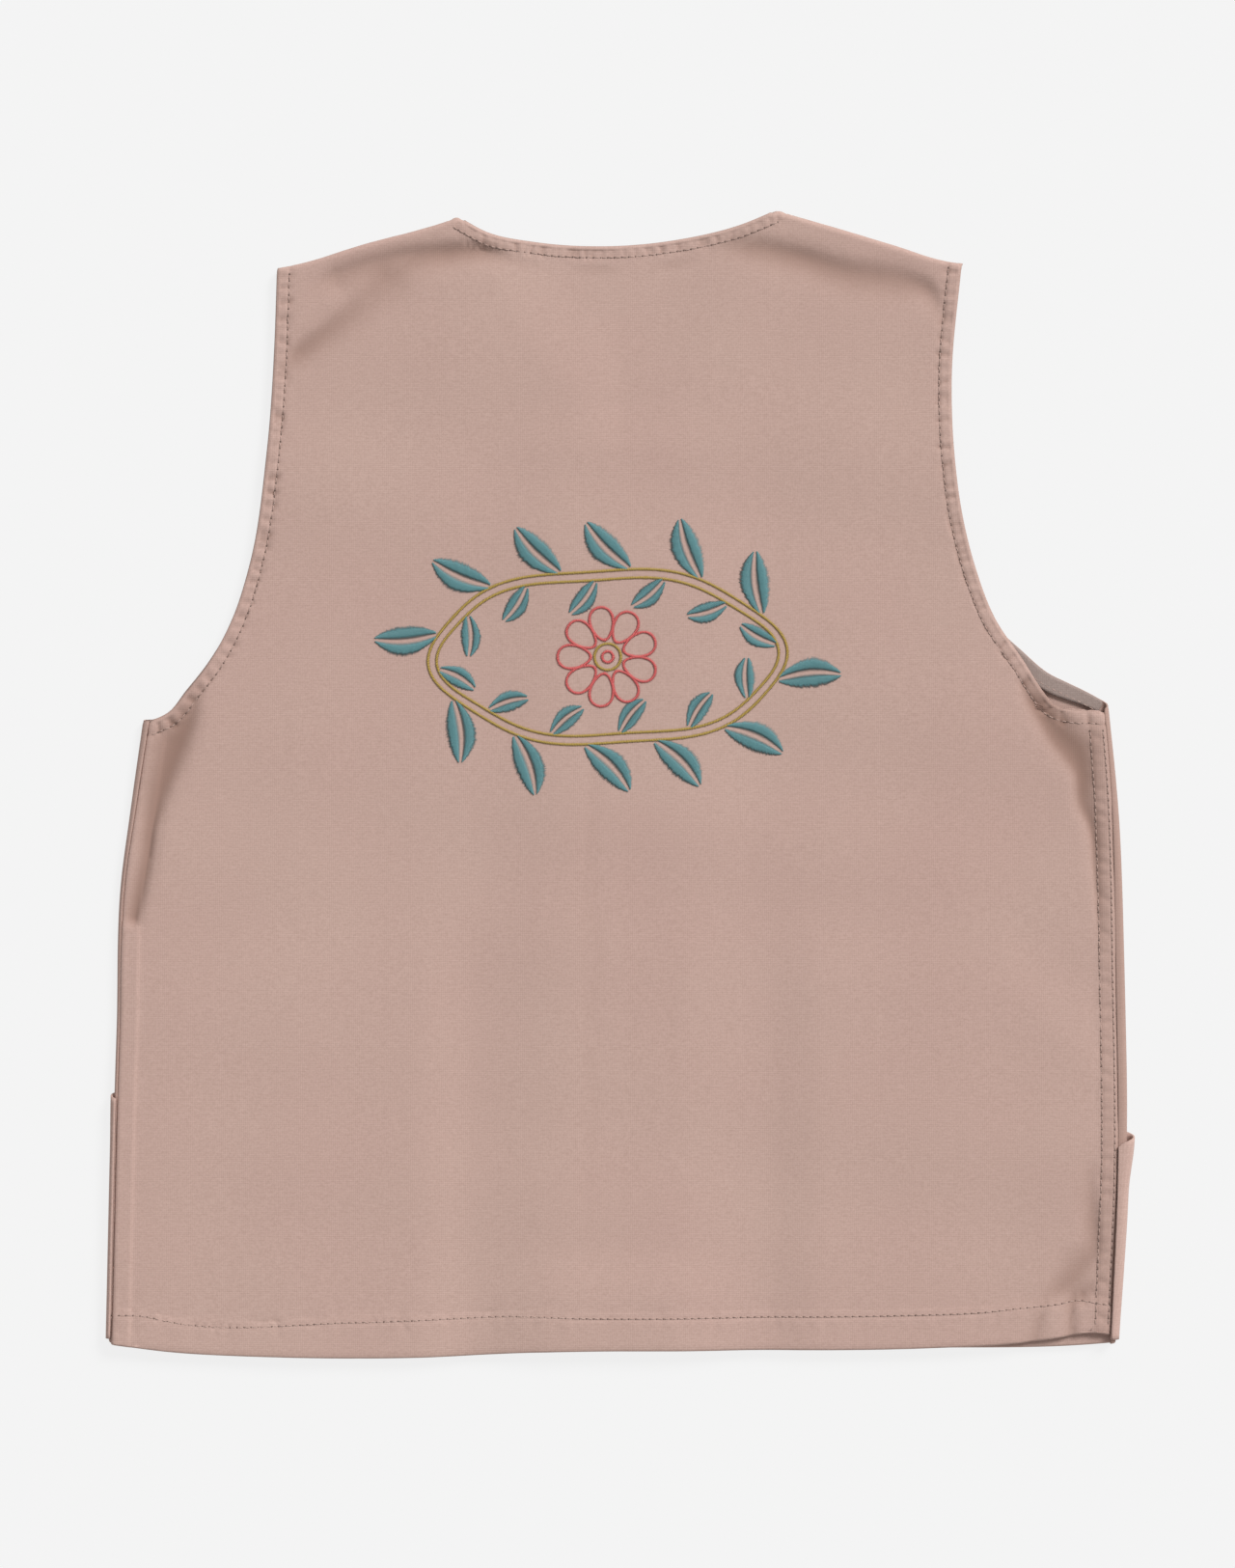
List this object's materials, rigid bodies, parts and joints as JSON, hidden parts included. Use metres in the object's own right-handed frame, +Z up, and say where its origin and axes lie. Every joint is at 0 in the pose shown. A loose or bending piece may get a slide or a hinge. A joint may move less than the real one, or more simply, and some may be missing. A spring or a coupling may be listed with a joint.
{
  "type": "waistcoat",
  "caption": "Child's collarless waistcoat in dusty pink cotton twill, buttoned and laid flat with its embroidered back up, with slanted patch pockets on the fronts beneath.",
  "frame": {"origin": "on the surface that the waistcoat lies on, under the middle of its outline", "axes": "+X to the wearer's right (image right), +Y from hem to neck, +Z up from the surface, so the outside of the back faces +Z and the outsides of the fronts face -Z"},
  "size_m": [0.4052, 0.4519, 0.008],
  "materials": {
    "cotton_twill": "matt brushed twill, dusty pink",
    "cotton_twill_inside": "matt wrong side of the twill",
    "button_resin": "polished polyester resin",
    "sewing_thread": "matt polyester thread, dusty pink",
    "teal_thread": "satin embroidery thread, grey teal",
    "coral_thread": "satin embroidery thread, coral red",
    "mustard_thread": "satin embroidery thread, mustard"
  },
  "bodies": {
    "root": {"back": "cotton_twill", "front_right": "cotton_twill", "front_left": "cotton_twill", "armhole_facing_right": "cotton_twill_inside", "armhole_facing_left": "cotton_twill_inside", "pocket_right": "cotton_twill", "pocket_left": "cotton_twill", "button_1": "button_resin", "button_2": "button_resin", "button_3": "button_resin", "button_4": "button_resin", "button_5": "button_resin"}
  },
  "joints": []
}
